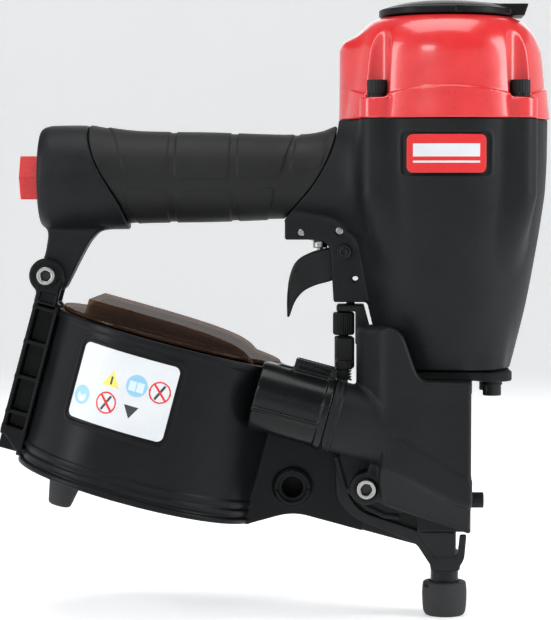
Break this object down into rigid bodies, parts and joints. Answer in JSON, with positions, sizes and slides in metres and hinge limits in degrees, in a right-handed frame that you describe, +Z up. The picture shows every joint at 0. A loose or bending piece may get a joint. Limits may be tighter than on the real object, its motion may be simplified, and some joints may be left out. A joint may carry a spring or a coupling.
{
  "type": "pneumatic coil nailer",
  "caption": "Pneumatic coil nailer: red-capped cast head, gripped handle, trigger with contact safety and depth wheel, sloped round magazine, rubber-tipped nose.",
  "frame": {"origin": "centre of the footprint, on the plane that the nose tip stands on", "axes": "+X forwards from the handle end to the head, +Y to the operator's left, +Z up along the drive axis"},
  "size_m": [0.2754, 0.1232, 0.3072],
  "materials": {
    "cast_black": "black powder coat on cast alloy, fine texture",
    "gloss_red": "gloss red paint",
    "plug_red": "red moulded plastic",
    "plastic_black": "black glass-filled nylon, satin",
    "rubber_black": "soft black rubber",
    "seal_black": "black nitrile",
    "steel": "zinc-plated or bright steel",
    "black_steel": "black oxide steel",
    "aluminium": "machined",
    "smoked": "clear smoked amber plastic",
    "label_white": "plain white label"
  },
  "bodies": {
    "tool_body": {"housing_body": "cast_black", "nose_body": "cast_black", "handle_end_cap": "cast_black", "cylinder_cap": "gloss_red", "front_label": "plug_red", "magazine_tub": "plastic_black", "feeder_cap": "plastic_black", "handle_grip": "rubber_black", "bumper": "rubber_black", "magazine_foot": "rubber_black", "cap_gasket": "seal_black", "cylinder_seal": "seal_black", "deflector_screw": "steel", "head_valve_spring": "steel", "air_filter": "steel", "trigger_spring": "steel", "valve_bushing": "steel", "valve_spring": "steel", "valve_pin_rear": "steel", "valve_pin_front": "steel", "safety_spring": "steel", "feeder_spring": "steel", "door_hinge_pin": "steel", "cover_hinge_pin": "steel", "magazine_arm_bolt": "steel", "magazine_front_bolt": "steel", "cap_bolt_1": "black_steel", "cap_bolt_2": "black_steel", "cap_bolt_3": "black_steel", "cap_bolt_4": "black_steel", "trigger_pivot_pin": "black_steel", "nose_bolt_1": "black_steel", "nose_bolt_2": "black_steel", "nose_bolt_3": "black_steel", "nose_bolt_4": "black_steel", "nose_side_screw": "black_steel", "magazine_snap_ring": "black_steel", "drive_cylinder": "aluminium", "side_label": "label_white"},
    "exhaust_deflector": {"exhaust_deflector": "plastic_black"},
    "inlet_plug": {"inlet_plug": "plug_red"},
    "head_valve": {"head_valve": "plastic_black"},
    "piston": {"drive_piston": "aluminium", "piston_ring": "seal_black", "driver_blade": "steel"},
    "trigger": {"trigger": "black_steel"},
    "trigger_lever": {"trigger_lever": "steel"},
    "valve_stem": {"valve_stem": "steel"},
    "upper_arm": {"upper_safety_arm": "black_steel"},
    "depth_wheel": {"depth_wheel": "black_steel"},
    "lower_arm": {"lower_safety_arm": "black_steel", "contact_tube": "black_steel", "no_mar_tip": "rubber_black"},
    "feeder": {"feeder_piston": "aluminium"},
    "feed_pawl": {"feed_pawl": "steel"},
    "nose_door": {"nose_door": "black_steel"},
    "door_latch": {"door_latch": "black_steel"},
    "magazine_cover": {"magazine_cover": "plastic_black", "magazine_lid": "smoked"},
    "nail_platform": {"nail_platform": "plastic_black"}
  },
  "joints": [
    {"name": "deflector_turn", "type": "hinge", "parent": "tool_body", "child": "exhaust_deflector", "pos_m": [0.0873, -0.008, 0.302], "axis": [0, 0, 1], "continuous": true},
    {"name": "inlet_plug_pull", "type": "slide", "parent": "tool_body", "child": "inlet_plug", "axis": [-1, 0, 0], "range_m": [0, 0.02]},
    {"name": "head_valve_lift", "type": "slide", "parent": "tool_body", "child": "head_valve", "axis": [0, 0, 1], "range_m": [0, 0.006], "stiffness_N_per_m": 500, "springref_m": -0.005, "deforming": ["head_valve_spring"]},
    {"name": "drive_stroke", "type": "slide", "parent": "tool_body", "child": "piston", "axis": [0, 0, -1], "range_m": [0, 0.075]},
    {"name": "trigger_pull", "type": "hinge", "parent": "tool_body", "child": "trigger", "pos_m": [0.0368, -0.008, 0.18275], "axis": [0, 1, 0], "range_deg": [0, 12], "stiffness_Nm_per_rad": 0.6, "springref_deg": -28.65},
    {"name": "trigger_lever_lift", "type": "hinge", "parent": "trigger", "child": "trigger_lever", "pos_m": [0.0122, -0.008, 0.1722], "axis": [0, 1, 0], "range_deg": [-8, 0]},
    {"name": "valve_stem_press", "type": "slide", "parent": "tool_body", "child": "valve_stem", "axis": [0, 0, 1], "range_m": [0, 0.0022], "stiffness_N_per_m": 400, "springref_m": -0.0015, "deforming": ["valve_spring"]},
    {"name": "contact_safety", "type": "slide", "parent": "tool_body", "child": "upper_arm", "axis": [0, 0, 1], "range_m": [0, 0.007], "stiffness_N_per_m": 250, "springref_m": -0.008, "deforming": ["safety_spring"]},
    {"name": "depth_wheel_turn", "type": "hinge", "parent": "upper_arm", "child": "depth_wheel", "pos_m": [0.0365, -0.008, 0.1467], "axis": [0, 0, 1], "range_deg": [0, 1440]},
    {"name": "depth_adjust", "type": "slide", "parent": "upper_arm", "child": "lower_arm", "axis": [0, 0, 1], "range_m": [-0.005, 0]},
    {"name": "feed_stroke", "type": "slide", "parent": "tool_body", "child": "feeder", "axis": [0.9659, 0, -0.2588], "range_m": [-0.008, 0], "stiffness_N_per_m": 300, "springref_m": 0.005, "deforming": ["feeder_spring"]},
    {"name": "feed_pawl_swing", "type": "hinge", "parent": "feeder", "child": "feed_pawl", "pos_m": [0.07386, -0.0234, 0.09144], "axis": [-0.2588, 0, -0.9659], "range_deg": [0, 16], "stiffness_Nm_per_rad": 0.05, "springref_deg": -28.65},
    {"name": "nose_door_swing", "type": "hinge", "parent": "tool_body", "child": "nose_door", "pos_m": [0.0949, 0.008, 0.08], "axis": [0, 0, -1], "range_deg": [0, 100]},
    {"name": "door_latch_turn", "type": "hinge", "parent": "nose_door", "child": "door_latch", "pos_m": [0.0593, 0.009, 0.084], "axis": [0, 1, 0], "range_deg": [0, 60]},
    {"name": "magazine_cover_swing", "type": "hinge", "parent": "tool_body", "child": "magazine_cover", "pos_m": [-0.11729, 0.011, 0.11605], "axis": [0.2588, 0, 0.9659], "range_deg": [0, 90]},
    {"name": "platform_height", "type": "slide", "parent": "tool_body", "child": "nail_platform", "axis": [0.2588, 0, 0.9659], "range_m": [0, 0.025]}
  ],
  "couplings": [
    {"joint": "depth_wheel_turn", "follows": "depth_adjust", "rad_per_m": -5026.5}
  ]
}
